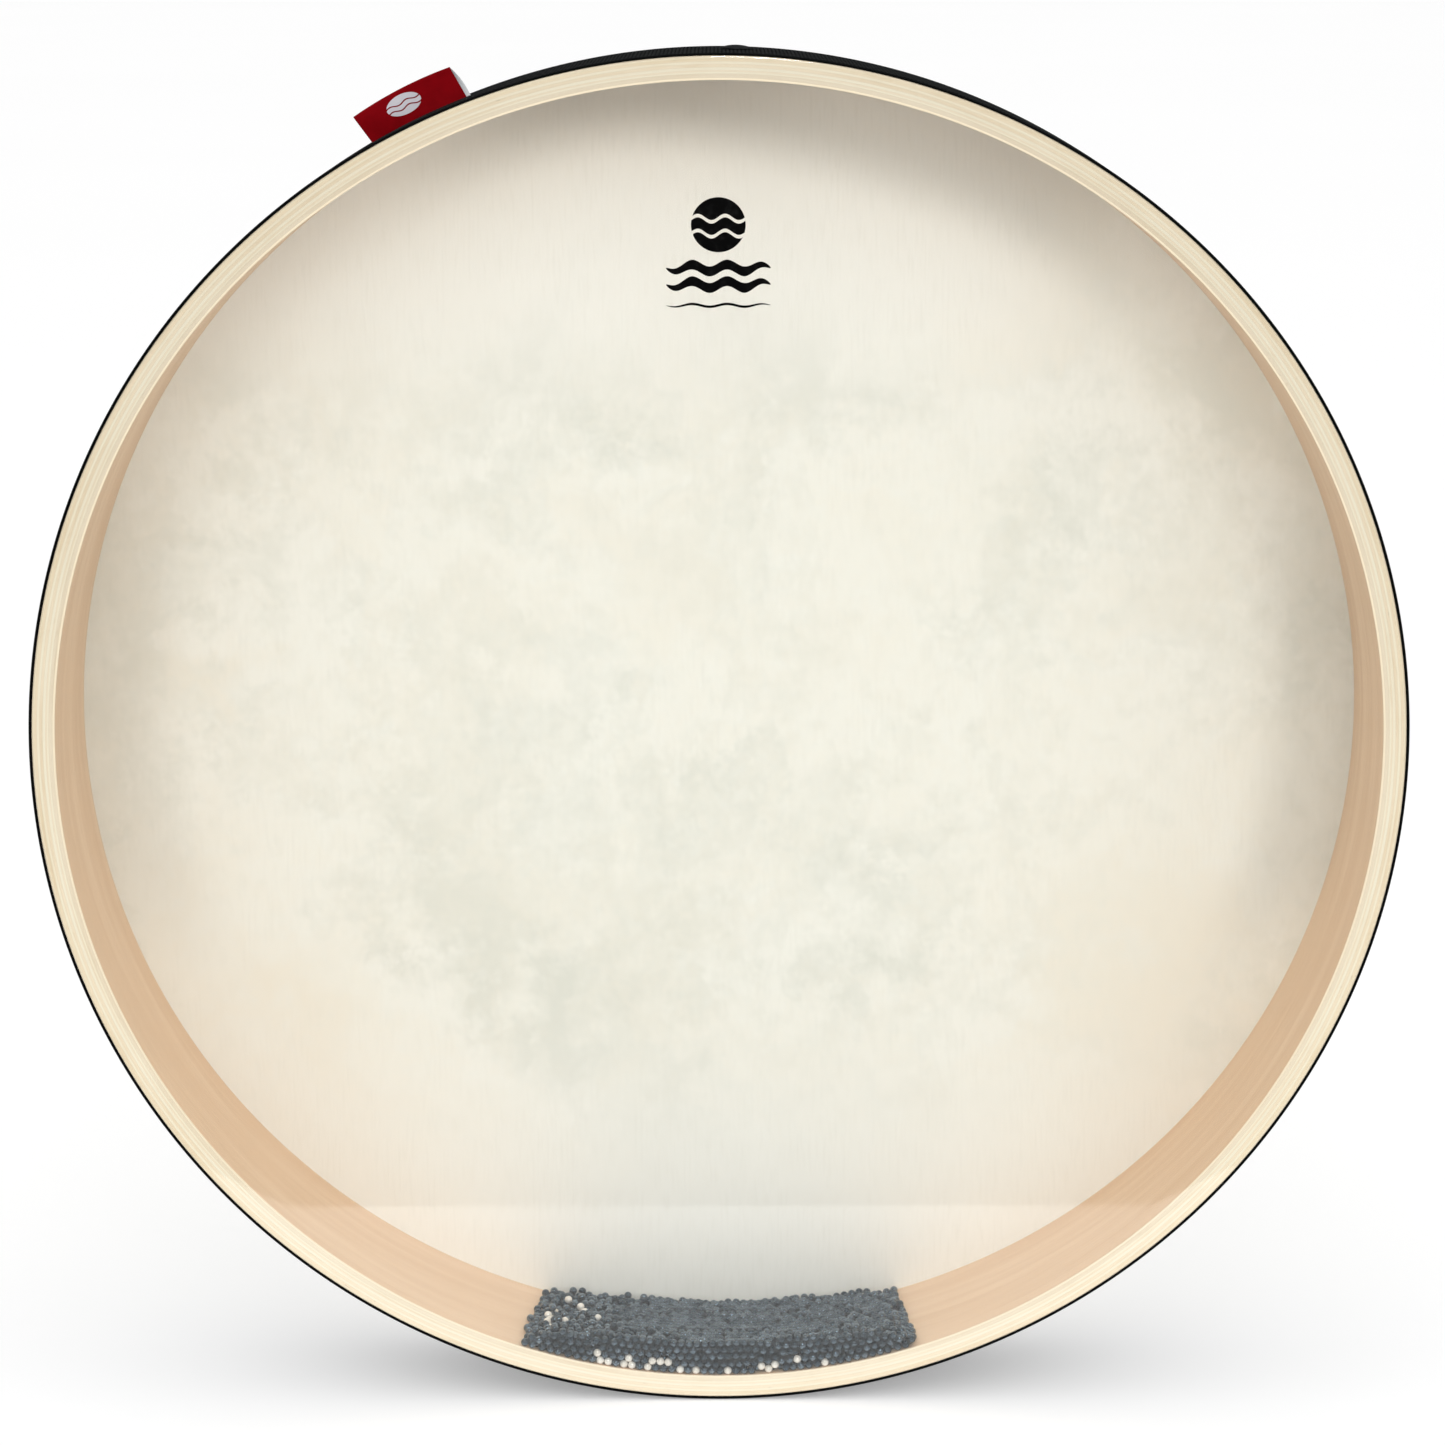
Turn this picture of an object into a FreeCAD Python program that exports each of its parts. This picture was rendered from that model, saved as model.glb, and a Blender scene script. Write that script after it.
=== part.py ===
"""Ocean drum: a laminated wooden hoop with a clear film on the front, a skin on the back and loose
steel shot between them.

Units are millimetres. The origin is the centre of the hoop at half its depth. Y runs along the
drum's axis, from the clear film (front, -Y) to the skin (back, +Y). Z points up, and the shot lies
at the bottom of the hoop.
"""
import FreeCAD, Part
import math
import os

# Driving dimensions of the hoop
HOOP_RADIUS = 248.85
HOOP_DEPTH = 61.5
PLY_THICKNESSES = (1.0, 1.0, 0.9, 1.1, 1.0, 0.5, 0.7, 1.4, 0.8)  # from the outside inwards
SHOULDER_RADIUS = 0.6  # rounding of the outer ply's edges, where the heads fold over

# Heads and the tape that covers their laps
FILM_THICKNESS = 0.25
FILM_LAP = 18.0
SKIN_THICKNESS = 0.45
SKIN_LAP = 22.0
TAPE_THICKNESS = 0.9
TAPE_EDGE_GAP = 0.15  # from the hoop's rim to the tape's edge

# Woven label, folded once and let through a slit in the tape
LABEL_WIDTH = 39.0
LABEL_HEIGHT = 11.8  # above the tape
LABEL_ANGLE = 24.9  # degrees left of the top
LABEL_LEAF = 0.4
LABEL_BULGE = 3.0  # how far the back leaf stands from the front leaf
LABEL_FRONT_Y = 2.5
SLIT_CLEARANCE = 0.2

# Filler plug, pushed into a hole through tape and hoop
PLUG_ANGLE = 1.5  # degrees right of the top
PLUG_CAP_RADIUS = 5.7
PLUG_CAP_EDGE = 0.35
PLUG_CAP_RISE = 0.95
PLUG_SEAT_GAP = 0.25
PLUG_SHANK_RADIUS = 4.0
PLUG_SHANK_CLEARANCE = 0.15
PLUG_SHANK_LENGTH = 9.2
PLUG_NOSE = 0.8

# Steel shot
BALL_RADIUS = 1.5
SHOT_GAP = 0.3  # the bed's distance from wall and heads
BED_END_ANGLE = 18.3  # degrees each side of the bottom
BED_FRONT_HEIGHT = 14.3
BED_BACK_HEIGHT = 8.2
BED_TOP_RADIUS = 526.0  # the bed's top is slightly hollow
BED_FRONT_SHOULDER = 62.0  # half-width of the top at the film
BED_BACK_SHOULDER = 68.0  # half-width of the top at the skin
STRAY_BALLS = (  # degrees from the bottom, positive to the right, and place along Y
    (-19.4, -24.0),
    (-19.2, -9.5),
    (-20.3, -5.0),
    (-19.3, 12.0),
    (-19.6, 27.5),
    (19.3, -20.0),
    (19.5, 4.5),
    (20.4, 18.0),
)

HALF_DEPTH = HOOP_DEPTH / 2
WALL_THICKNESS = sum(PLY_THICKNESSES)
CHAMBER_RADIUS = HOOP_RADIUS - WALL_THICKNESS
FILM_LAP_RADIUS = HOOP_RADIUS + FILM_THICKNESS
SKIN_LAP_RADIUS = HOOP_RADIUS + SKIN_THICKNESS
FILM_LAP_END = -HALF_DEPTH + FILM_LAP
SKIN_LAP_END = HALF_DEPTH - SKIN_LAP
TAPE_HALF_WIDTH = HALF_DEPTH - TAPE_EDGE_GAP

ORIGIN = FreeCAD.Vector(0, 0, 0)
AXIS_Y = FreeCAD.Vector(0, 1, 0)
AXIS_Z = FreeCAD.Vector(0, 0, 1)


def ring(inner, outer, start, end):
    """A band around the drum's axis, from y = start to y = end."""
    base = FreeCAD.Vector(0, start, 0)
    band = Part.makeCylinder(outer, end - start, base, AXIS_Y)
    return band.cut(Part.makeCylinder(inner, end - start, base, AXIS_Y))


def revolved(edges):
    """The solid swept by a closed outline in the X-Y plane around the drum's axis."""
    face = Part.Face(Part.Wire(edges))
    return face.revolve(ORIGIN, AXIS_Y, 360)


def line(start, end):
    return Part.LineSegment(FreeCAD.Vector(*start), FreeCAD.Vector(*end)).toShape()


def arc(start, middle, end):
    return Part.Arc(FreeCAD.Vector(*start), FreeCAD.Vector(*middle), FreeCAD.Vector(*end)).toShape()


def polyline(points):
    """Straight edges through the points and back to the first."""
    return [line(points[i - 1], points[i]) for i in range(len(points))]


def turned(shape, degrees):
    """The shape, made at the top of the drum, moved clockwise round the hoop as seen from the front."""
    copy = shape.copy()
    copy.rotate(ORIGIN, AXIS_Y, degrees)
    return copy


def plug_hole():
    """The cylinder that the filler plug's hole removes from tape and hoop."""
    radius = PLUG_SHANK_RADIUS + PLUG_SHANK_CLEARANCE
    start = FreeCAD.Vector(0, 0, CHAMBER_RADIUS - 2)
    hole = Part.makeCylinder(radius, WALL_THICKNESS + 5, start, AXIS_Z)
    return turned(hole, PLUG_ANGLE)


def ply(index):
    """One veneer of the hoop. The outermost has rounded edges."""
    outer = HOOP_RADIUS - sum(PLY_THICKNESSES[:index])
    veneer = ring(outer - PLY_THICKNESSES[index], outer, -HALF_DEPTH, HALF_DEPTH)
    if index == 0:
        edges = [e for e in veneer.Edges if hasattr(e.Curve, "Radius") and e.Curve.Radius > outer - 0.1]
        veneer = veneer.makeFillet(SHOULDER_RADIUS, edges)
    return veneer.cut(plug_hole())


def head(side, thickness):
    """The flat part of a membrane, up to where it starts to fold over the hoop's edge."""
    face = side * HALF_DEPTH
    start = min(face, face + side * thickness)
    return Part.makeCylinder(HOOP_RADIUS - SHOULDER_RADIUS, thickness, FreeCAD.Vector(0, start, 0), AXIS_Y)


def lap(side, thickness, length):
    """The edge of a membrane: its rounded fold over the hoop's edge, then the band down the outside."""
    face = side * HALF_DEPTH
    fold_y = face - side * SHOULDER_RADIUS
    band_end = face - side * length
    outer = SHOULDER_RADIUS + thickness
    diagonal = math.sqrt(0.5)

    def on_fold(radius, across, along):
        return (HOOP_RADIUS - SHOULDER_RADIUS + radius * across, fold_y + side * radius * along, 0)

    return revolved([
        line(on_fold(outer, 0, 1), on_fold(SHOULDER_RADIUS, 0, 1)),
        arc(on_fold(SHOULDER_RADIUS, 0, 1), on_fold(SHOULDER_RADIUS, diagonal, diagonal),
            on_fold(SHOULDER_RADIUS, 1, 0)),
        line(on_fold(SHOULDER_RADIUS, 1, 0), (HOOP_RADIUS, band_end, 0)),
        line((HOOP_RADIUS, band_end, 0), (HOOP_RADIUS + thickness, band_end, 0)),
        line((HOOP_RADIUS + thickness, band_end, 0), on_fold(outer, 1, 0)),
        arc(on_fold(outer, 1, 0), on_fold(outer, diagonal, diagonal), on_fold(outer, 0, 1)),
    ])


def rim_tape():
    """The ribbed tape around the hoop, with a slit for the label and a hole for the plug."""
    inner = [
        (FILM_LAP_RADIUS, -TAPE_HALF_WIDTH, 0),
        (FILM_LAP_RADIUS, FILM_LAP_END, 0),
        (SKIN_LAP_RADIUS, SKIN_LAP_END, 0),
        (SKIN_LAP_RADIUS, TAPE_HALF_WIDTH, 0),
    ]
    outer = [(x + TAPE_THICKNESS, y, z) for x, y, z in reversed(inner)]
    tape = revolved(polyline(inner + outer))
    slit_width = LABEL_WIDTH + 2 * SLIT_CLEARANCE
    slit = Part.makeBox(
        slit_width,
        2 * LABEL_LEAF + 2 * SLIT_CLEARANCE,
        10,
        FreeCAD.Vector(-slit_width / 2, LABEL_FRONT_Y - SLIT_CLEARANCE, HOOP_RADIUS - 3),
    )
    return tape.cut(turned(slit, -LABEL_ANGLE)).cut(plug_hole())


def label():
    """The folded label: two leaves that meet at the slit and at the fold, bulging apart between."""
    left = -LABEL_WIDTH / 2
    tape_top = SKIN_LAP_RADIUS + TAPE_THICKNESS
    foot = HOOP_RADIUS - 3
    neck = tape_top + 0.6
    top = tape_top + LABEL_HEIGHT
    middle = (neck + top) / 2
    front = LABEL_FRONT_Y
    back = front + 2 * LABEL_LEAF
    outline = Part.Wire([
        line((left, front, foot), (left, front, top)),
        line((left, front, top), (left, back, top)),
        arc((left, back, top), (left, front + LABEL_BULGE + LABEL_LEAF, middle), (left, back, neck)),
        line((left, back, neck), (left, back, foot)),
        line((left, back, foot), (left, front, foot)),
    ])
    leaves = Part.Face(outline).extrude(FreeCAD.Vector(LABEL_WIDTH, 0, 0))
    core = Part.makeCylinder(HOOP_RADIUS, HOOP_DEPTH, FreeCAD.Vector(0, -HALF_DEPTH, 0), AXIS_Y)
    return turned(leaves, -LABEL_ANGLE).cut(core)


def filler_plug():
    """A domed cap on a short round shank with a tapered nose."""
    seat = (SKIN_LAP_RADIUS + FILM_LAP_RADIUS) / 2 + TAPE_THICKNESS + PLUG_SEAT_GAP
    shank_end = seat - PLUG_SHANK_LENGTH
    shank = Part.makeCylinder(
        PLUG_SHANK_RADIUS, PLUG_SHANK_LENGTH - PLUG_NOSE, FreeCAD.Vector(0, 0, shank_end + PLUG_NOSE), AXIS_Z
    )
    nose = Part.makeCone(
        PLUG_SHANK_RADIUS - PLUG_NOSE / 2, PLUG_SHANK_RADIUS, PLUG_NOSE, FreeCAD.Vector(0, 0, shank_end), AXIS_Z
    )
    edge = Part.makeCylinder(PLUG_CAP_RADIUS, PLUG_CAP_EDGE, FreeCAD.Vector(0, 0, seat), AXIS_Z)
    dome_radius = (PLUG_CAP_RADIUS ** 2 + PLUG_CAP_RISE ** 2) / (2 * PLUG_CAP_RISE)
    crown = seat + PLUG_CAP_EDGE + PLUG_CAP_RISE
    ball = Part.makeSphere(dome_radius, FreeCAD.Vector(0, 0, crown - dome_radius))
    slab = Part.makeCylinder(
        PLUG_CAP_RADIUS + 1, PLUG_CAP_RISE + 1, FreeCAD.Vector(0, 0, seat + PLUG_CAP_EDGE), AXIS_Z
    )
    return turned(shank.fuse([nose, edge, ball.common(slab)]).removeSplitter(), PLUG_ANGLE)


def bed_outline(y, height, shoulder):
    """The shot bed's cross-section at depth y: wall arc, two end slopes and a hollow top."""
    radius = CHAMBER_RADIUS - SHOT_GAP
    end = math.radians(BED_END_ANGLE)
    end_x = radius * math.sin(end)
    end_z = -radius * math.cos(end)
    centre_z = height - CHAMBER_RADIUS
    shoulder_z = centre_z + shoulder ** 2 / (2 * BED_TOP_RADIUS)
    return Part.Wire([
        arc((-end_x, y, end_z), (0, y, -radius), (end_x, y, end_z)),
        line((end_x, y, end_z), (shoulder, y, shoulder_z)),
        arc((shoulder, y, shoulder_z), (0, y, centre_z), (-shoulder, y, shoulder_z)),
        line((-shoulder, y, shoulder_z), (-end_x, y, end_z)),
    ])


def shot_bed():
    """The space that the settled shot fills, deeper at the film than at the skin."""
    reach = HALF_DEPTH - SHOT_GAP
    front = bed_outline(-reach, BED_FRONT_HEIGHT, BED_FRONT_SHOULDER)
    back = bed_outline(reach, BED_BACK_HEIGHT, BED_BACK_SHOULDER)
    return Part.makeLoft([front, back], True, True)


def stray_shot():
    """Single balls that lie on the wall clear of the bed."""
    reach = CHAMBER_RADIUS - SHOT_GAP - BALL_RADIUS
    balls = []
    for degrees, y in STRAY_BALLS:
        angle = math.radians(degrees)
        centre = FreeCAD.Vector(reach * math.sin(angle), y, -reach * math.cos(angle))
        balls.append(Part.makeSphere(BALL_RADIUS, centre))
    return Part.makeCompound(balls)


def ply_name(index):
    """Plies are numbered from the outside; the two that face out of the wall say so."""
    ends = {0: "_outer", len(PLY_THICKNESSES) - 1: "_inner"}
    return "ply_%d%s" % (index + 1, ends.get(index, ""))


parts = {ply_name(i): ply(i) for i in range(len(PLY_THICKNESSES))}
parts["film_head"] = head(-1, FILM_THICKNESS)
parts["film_lap"] = lap(-1, FILM_THICKNESS, FILM_LAP)
parts["skin_head"] = head(1, SKIN_THICKNESS)
parts["skin_lap"] = lap(1, SKIN_THICKNESS, SKIN_LAP)
parts["rim_tape"] = rim_tape()
parts["label"] = label()
parts["filler_plug"] = filler_plug()
parts["shot_bed"] = shot_bed()
parts["stray_shot"] = stray_shot()

os.makedirs("parts", exist_ok=True)
for name, shape in parts.items():
    shape.exportStep("parts/%s.step" % name)
    print(name, "valid" if shape.isValid() else "NOT VALID", "%.0f mm3" % shape.Volume)
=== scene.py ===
"""Looks of the ocean drum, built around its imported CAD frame.

Blender units are metres and the frame is the CAD's: Y runs along the drum's axis from the clear film
(front) to the skin (back), Z is up. Angles round the hoop are measured clockwise from the top, as seen
from the front.
"""

import itertools
import math

import bmesh
import bpy
import numpy as np
from mathutils import Euler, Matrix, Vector


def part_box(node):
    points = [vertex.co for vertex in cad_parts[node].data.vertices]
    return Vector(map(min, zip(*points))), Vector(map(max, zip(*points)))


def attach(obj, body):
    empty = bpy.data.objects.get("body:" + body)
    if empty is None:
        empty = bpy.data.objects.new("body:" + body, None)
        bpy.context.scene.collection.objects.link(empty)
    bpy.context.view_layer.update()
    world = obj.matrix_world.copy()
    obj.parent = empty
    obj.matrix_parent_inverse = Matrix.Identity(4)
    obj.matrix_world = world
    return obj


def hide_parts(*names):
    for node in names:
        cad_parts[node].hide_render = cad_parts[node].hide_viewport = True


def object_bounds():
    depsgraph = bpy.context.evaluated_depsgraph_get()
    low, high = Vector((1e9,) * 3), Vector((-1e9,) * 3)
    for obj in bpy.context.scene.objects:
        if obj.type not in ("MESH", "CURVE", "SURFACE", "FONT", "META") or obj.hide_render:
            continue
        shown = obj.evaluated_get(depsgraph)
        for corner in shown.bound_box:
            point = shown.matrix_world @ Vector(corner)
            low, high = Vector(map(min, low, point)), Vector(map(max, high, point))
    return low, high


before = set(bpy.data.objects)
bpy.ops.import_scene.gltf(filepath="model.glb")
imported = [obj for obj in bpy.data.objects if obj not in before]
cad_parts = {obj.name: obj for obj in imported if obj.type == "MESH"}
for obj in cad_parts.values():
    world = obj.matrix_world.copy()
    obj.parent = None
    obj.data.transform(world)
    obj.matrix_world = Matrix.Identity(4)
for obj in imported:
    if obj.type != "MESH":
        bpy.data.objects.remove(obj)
cad_low, cad_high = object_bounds()

MM = 0.001


# ---- sizes taken from the frame

def radial_range(node):
    """Smallest and largest distance of a CAD node's points from the drum's axis."""
    distances = [math.hypot(v.co.x, v.co.z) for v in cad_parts[node].data.vertices]
    return min(distances), max(distances)


PLIES = ("ply_1_outer", "ply_2", "ply_3", "ply_4", "ply_5", "ply_6", "ply_7", "ply_8", "ply_9_inner")
CHAMBER_RADIUS, _ = radial_range("ply_9_inner")
_, HOOP_RADIUS = radial_range("ply_1_outer")
HOOP_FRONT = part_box("ply_5")[0].y
HOOP_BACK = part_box("ply_5")[1].y
FILM_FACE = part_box("film_head")[0].y
FILM_THICKNESS = HOOP_FRONT - FILM_FACE
FILM_LAP_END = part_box("film_lap")[1].y
SKIN_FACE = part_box("skin_head")[1].y
SKIN_THICKNESS = SKIN_FACE - HOOP_BACK
SKIN_LAP_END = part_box("skin_lap")[0].y
TAPE_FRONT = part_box("rim_tape")[0].y
TAPE_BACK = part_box("rim_tape")[1].y
_, TAPE_RADIUS = radial_range("rim_tape")
_, FOLD_START = radial_range("film_head")
SHOULDER = HOOP_RADIUS - FOLD_START

PLUG_ANGLE = math.radians(1.5)
PLUG_HOLE_RADIUS = 4.15 * MM
LABEL_ANGLE = math.radians(-25.5)


# ---- node materials

def add(tree, kind, inputs=None, **settings):
    """A shader node. inputs holds a value or another node's output for each named or numbered socket."""
    node = tree.nodes.new("ShaderNode" + kind)
    for key, value in settings.items():
        setattr(node, key, value)
    for key, value in (inputs or {}).items():
        if isinstance(value, bpy.types.NodeSocket):
            tree.links.new(value, node.inputs[key])
        else:
            node.inputs[key].default_value = value
    return node


def math_node(tree, operation, first, second=0.0, third=0.0, clamp=False):
    node = add(tree, "Math", {0: first, 1: second, 2: third}, operation=operation, use_clamp=clamp)
    return node.outputs[0]


def times(tree, first, second, clamp=False):
    return math_node(tree, "MULTIPLY", first, second, clamp=clamp)


def ramp(tree, value, low, high, out_low=0.0, out_high=1.0):
    """value between low and high, smoothed and mapped to out_low and out_high."""
    inputs = {"Value": value, "From Min": low, "From Max": high, "To Min": out_low, "To Max": out_high}
    return add(tree, "MapRange", inputs, interpolation_type="SMOOTHSTEP").outputs[0]


def mix_colour(tree, factor, first, second):
    """The first colour at a factor of 0, the second at 1."""
    node = add(tree, "Mix", {0: factor}, data_type="RGBA", blend_type="MIX")
    for socket, value in ((node.inputs[6], first), (node.inputs[7], second)):
        if isinstance(value, bpy.types.NodeSocket):
            tree.links.new(value, socket)
        else:
            socket.default_value = (*value, 1.0)
    return node.outputs[2]


def noise(tree, vector, scale, detail=2.0, roughness=0.5, distortion=0.0):
    inputs = {"Vector": vector, "Scale": scale, "Detail": detail, "Roughness": roughness,
              "Distortion": distortion}
    return add(tree, "TexNoise", inputs).outputs["Fac"]


def combined(tree, x, y, z):
    return add(tree, "CombineXYZ", {0: x, 1: y, 2: z}).outputs[0]


def position(tree):
    """Place in the row frame, as a vector and as its three parts."""
    vector = add(tree, "TexCoord").outputs["Object"]
    parts = add(tree, "SeparateXYZ", {0: vector})
    return vector, parts.outputs[0], parts.outputs[1], parts.outputs[2]


def facing_along_axis(tree):
    """1 on a face that looks along the drum's axis, 0 on one that looks across it."""
    normal = add(tree, "NewGeometry").outputs["Normal"]
    return math_node(tree, "ABSOLUTE", add(tree, "SeparateXYZ", {0: normal}).outputs[1])


def new_material(name, **values):
    """A material, its tree and its shader. values go to the sockets of that name."""
    material = bpy.data.materials.new(name)
    material.use_nodes = True
    shader = material.node_tree.nodes["Principled BSDF"]
    for socket, value in values.items():
        shader.inputs[socket.replace("_", " ")].default_value = value
    return material, material.node_tree, shader


def bump(tree, shader, height, distance, strength):
    node = add(tree, "Bump", {"Height": height, "Distance": distance, "Strength": strength})
    tree.links.new(node.outputs[0], shader.inputs["Normal"])


def feed(tree, shader, **sockets):
    """Links each output to the shader's socket of that name, with spaces for underscores."""
    for name, output in sockets.items():
        tree.links.new(output, shader.inputs[name.replace("_", " ")])


def streaks(tree, length, across, **settings):
    """Noise that runs in streaks round the hoop, with no seam: length along the circumference, and across
    it in depth and in radius."""
    _, x, y, z = position(tree)
    radius = math_node(tree, "SQRT", math_node(tree, "ADD", times(tree, x, x), times(tree, z, z)))
    turns = HOOP_RADIUS / length
    east = times(tree, math_node(tree, "DIVIDE", x, radius), turns)
    north = times(tree, math_node(tree, "DIVIDE", z, radius), turns)
    depth = times(tree, math_node(tree, "ADD", radius, y), 1.0 / across)
    return noise(tree, combined(tree, east, north, depth), 1.0, **settings)


BLACK = (0.0, 0.0, 0.0)
GLUE = (0.48, 0.37, 0.22)
GLUE_STRENGTH = 0.35


def painted_top_shade(tree):
    """Painted shade on the hoop's edge: how much darker it is, most at the top."""
    _, _, _, z = position(tree)
    return ramp(tree, z, -0.22, 0.24, 0.0, 0.15)


def veneer(name, colour, streak, pores):
    """Bare sanded veneer seen on edge: grain lines round the hoop, pores and glue lines."""
    material, tree, shader = new_material(name)
    grain = streaks(tree, 22 * MM, 0.34 * MM, detail=4.0, roughness=0.65)
    tone = streaks(tree, 60 * MM, 3.0 * MM, detail=2.0)
    pore_noise = streaks(tree, 1.1 * MM, 0.42 * MM, detail=3.0, roughness=0.7)
    pore = ramp(tree, pore_noise, 0.56, 0.72)
    void_noise = streaks(tree, 3.5 * MM, 0.6 * MM, detail=3.0, roughness=0.6)
    void = ramp(tree, void_noise, 0.68, 0.76)
    across = add(tree, "Attribute", attribute_name="across").outputs["Fac"]
    rim = math_node(tree, "ABSOLUTE", math_node(tree, "SUBTRACT", across, 0.5))
    glue = times(tree, ramp(tree, rim, 0.43, 0.5), ramp(tree, facing_along_axis(tree), 0.5, 0.9))
    dark = tuple(c * k for c, k in zip(colour, (0.86, 0.79, 0.68)))
    light = tuple(min(c * k, 0.96) for c, k in zip(colour, (1.03, 1.04, 1.06)))
    shade = mix_colour(tree, ramp(tree, grain, 0.30, 0.70), light, colour)
    shade = mix_colour(tree, times(tree, ramp(tree, tone, 0.45, 0.75), streak), shade, dark)
    shade = mix_colour(tree, times(tree, pore, pores), shade, dark)
    shade = mix_colour(tree, times(tree, void, pores), shade, (0.36, 0.27, 0.17))
    stain = streaks(tree, 18 * MM, 2.2 * MM, detail=3.0, roughness=0.6)
    shade = mix_colour(tree, ramp(tree, stain, 0.55, 0.8, 0.0, 0.5), shade, dark)
    shade = mix_colour(tree, times(tree, glue, GLUE_STRENGTH), shade, GLUE)
    # painted shade: the hoop's edge darker towards the top
    shade = mix_colour(tree, painted_top_shade(tree), shade, BLACK)
    height = math_node(tree, "SUBTRACT", grain, times(tree, pore, 0.8))
    bump(tree, shader, height, 0.05 * MM, 0.7)
    feed(tree, shader, Base_Color=shade, Roughness=ramp(tree, grain, 0.2, 0.8, 0.50, 0.68))
    return material


def wall_veneer():
    """The hoop's inner face: pale pinkish beech with its grain round the hoop and short flecks."""
    material, tree, shader = new_material("beech_inside")
    bands = streaks(tree, 170 * MM, 8 * MM, detail=3.0, distortion=0.4)
    lines = streaks(tree, 45 * MM, 0.55 * MM, detail=4.0, roughness=0.7)
    fleck_noise = streaks(tree, 1.6 * MM, 0.22 * MM, detail=1.0)
    fleck = ramp(tree, fleck_noise, 0.62, 0.74)
    shade = mix_colour(tree, ramp(tree, bands, 0.3, 0.7), (0.82, 0.575, 0.385), (0.89, 0.655, 0.46))
    shade = mix_colour(tree, ramp(tree, lines, 0.42, 0.72, 0.0, 0.45), shade, (0.75, 0.52, 0.34))
    shade = mix_colour(tree, times(tree, fleck, 0.4), shade, (0.62, 0.40, 0.24))
    across = add(tree, "Attribute", attribute_name="across").outputs["Fac"]
    on_edge = ramp(tree, facing_along_axis(tree), 0.3, 0.8)
    _, _, _, z = position(tree)
    # painted shade: the inner wall is darker higher up and paler low down
    low = ramp(tree, z, -0.20, 0.10, 0.0, 0.12)
    shade = mix_colour(tree, low, shade, BLACK)
    shade = mix_colour(tree, on_edge, shade, (0.95, 0.82, 0.63))
    glue = times(tree, ramp(tree, across, 0.9, 1.0), on_edge)
    shade = mix_colour(tree, times(tree, glue, GLUE_STRENGTH), shade, GLUE)
    bump(tree, shader, math_node(tree, "SUBTRACT", lines, fleck), 0.04 * MM, 0.6)
    feed(tree, shader, Base_Color=shade, Roughness=ramp(tree, lines, 0.2, 0.8, 0.38, 0.55))
    return material


def film_material():
    """Clear polyester film: it lets light through and mirrors more of it the flatter it is seen."""
    material, tree, shader = new_material("clear_film", Base_Color=(0.96, 0.97, 0.98, 1.0), Metallic=1.0)
    vector, _, _, _ = position(tree)
    feed(tree, shader, Roughness=ramp(tree, noise(tree, vector, 9.0, detail=3.0), 0.3, 0.7, 0.03, 0.07))
    clear = add(tree, "BsdfTransparent", {"Color": (0.985, 0.99, 0.985, 1.0)})
    slant = add(tree, "LayerWeight", {"Blend": 0.5}).outputs["Facing"]
    gloss = math_node(tree, "MULTIPLY_ADD", math_node(tree, "POWER", slant, 5.0), 0.9, 0.042)
    blend = add(tree, "MixShader", {0: gloss, 1: clear.outputs[0], 2: shader.outputs[0]})
    tree.links.new(blend.outputs[0], tree.nodes["Material Output"].inputs["Surface"])
    return material


CLOUDS = (  # soft patches on the skin, partly its own mottling and partly painted light and shade: x, z and radius in mm, then how dark and how warm
    (100, 165, 40, -0.1, 0.9),
    (-165, 135, 45, 0.5, 0.1),
    (185, 120, 45, 0.8, 0.3),
    (-80, 90, 25, 0.45, 0.0),
    (-20, 70, 45, 0.25, 0.1),
    (120, 55, 35, 0.3, 0.0),
    (-185, 10, 20, -0.1, 0.8),
    (-120, -55, 38, 0.8, 0.3),
    (-90, -95, 30, 0.8, 0.3),
    (60, -35, 40, 0.25, 0.0),
    (-160, -110, 35, -0.1, 1.0),
    (-140, -150, 45, -0.1, 1.0),
    (165, -85, 45, 0.0, 1.0),
    (150, -135, 40, 0.1, 0.9),
    (-55, -125, 30, 0.8, 0.0),
    (-20, -175, 30, 0.7, 0.0),
    (5, -140, 35, 0.4, 0.1),
    (75, -150, 50, 0.45, 0.2),
    (170, 80, 45, -0.5, 0.0),
    (180, 0, 50, -0.6, 0.0),
    (175, -75, 50, -0.6, 0.0),
    (135, -130, 45, -0.4, -0.2),
    (-174, -80, 60, -0.5, -0.1),
    (-150, -142, 60, -0.7, -0.3),
    (-53, 140, 30, 1.0, 0.0),
    (38, 150, 40, 1.3, 0.1),
    (128, 165, 40, 1.0, 0.2),
    (189, 140, 35, 0.7, 0.2),
)
SKIN_EDGE_START = 197 * MM  # where the painted shade on the skin begins, darkening it towards the hoop
SKIN_EDGE_END = 224 * MM


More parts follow.
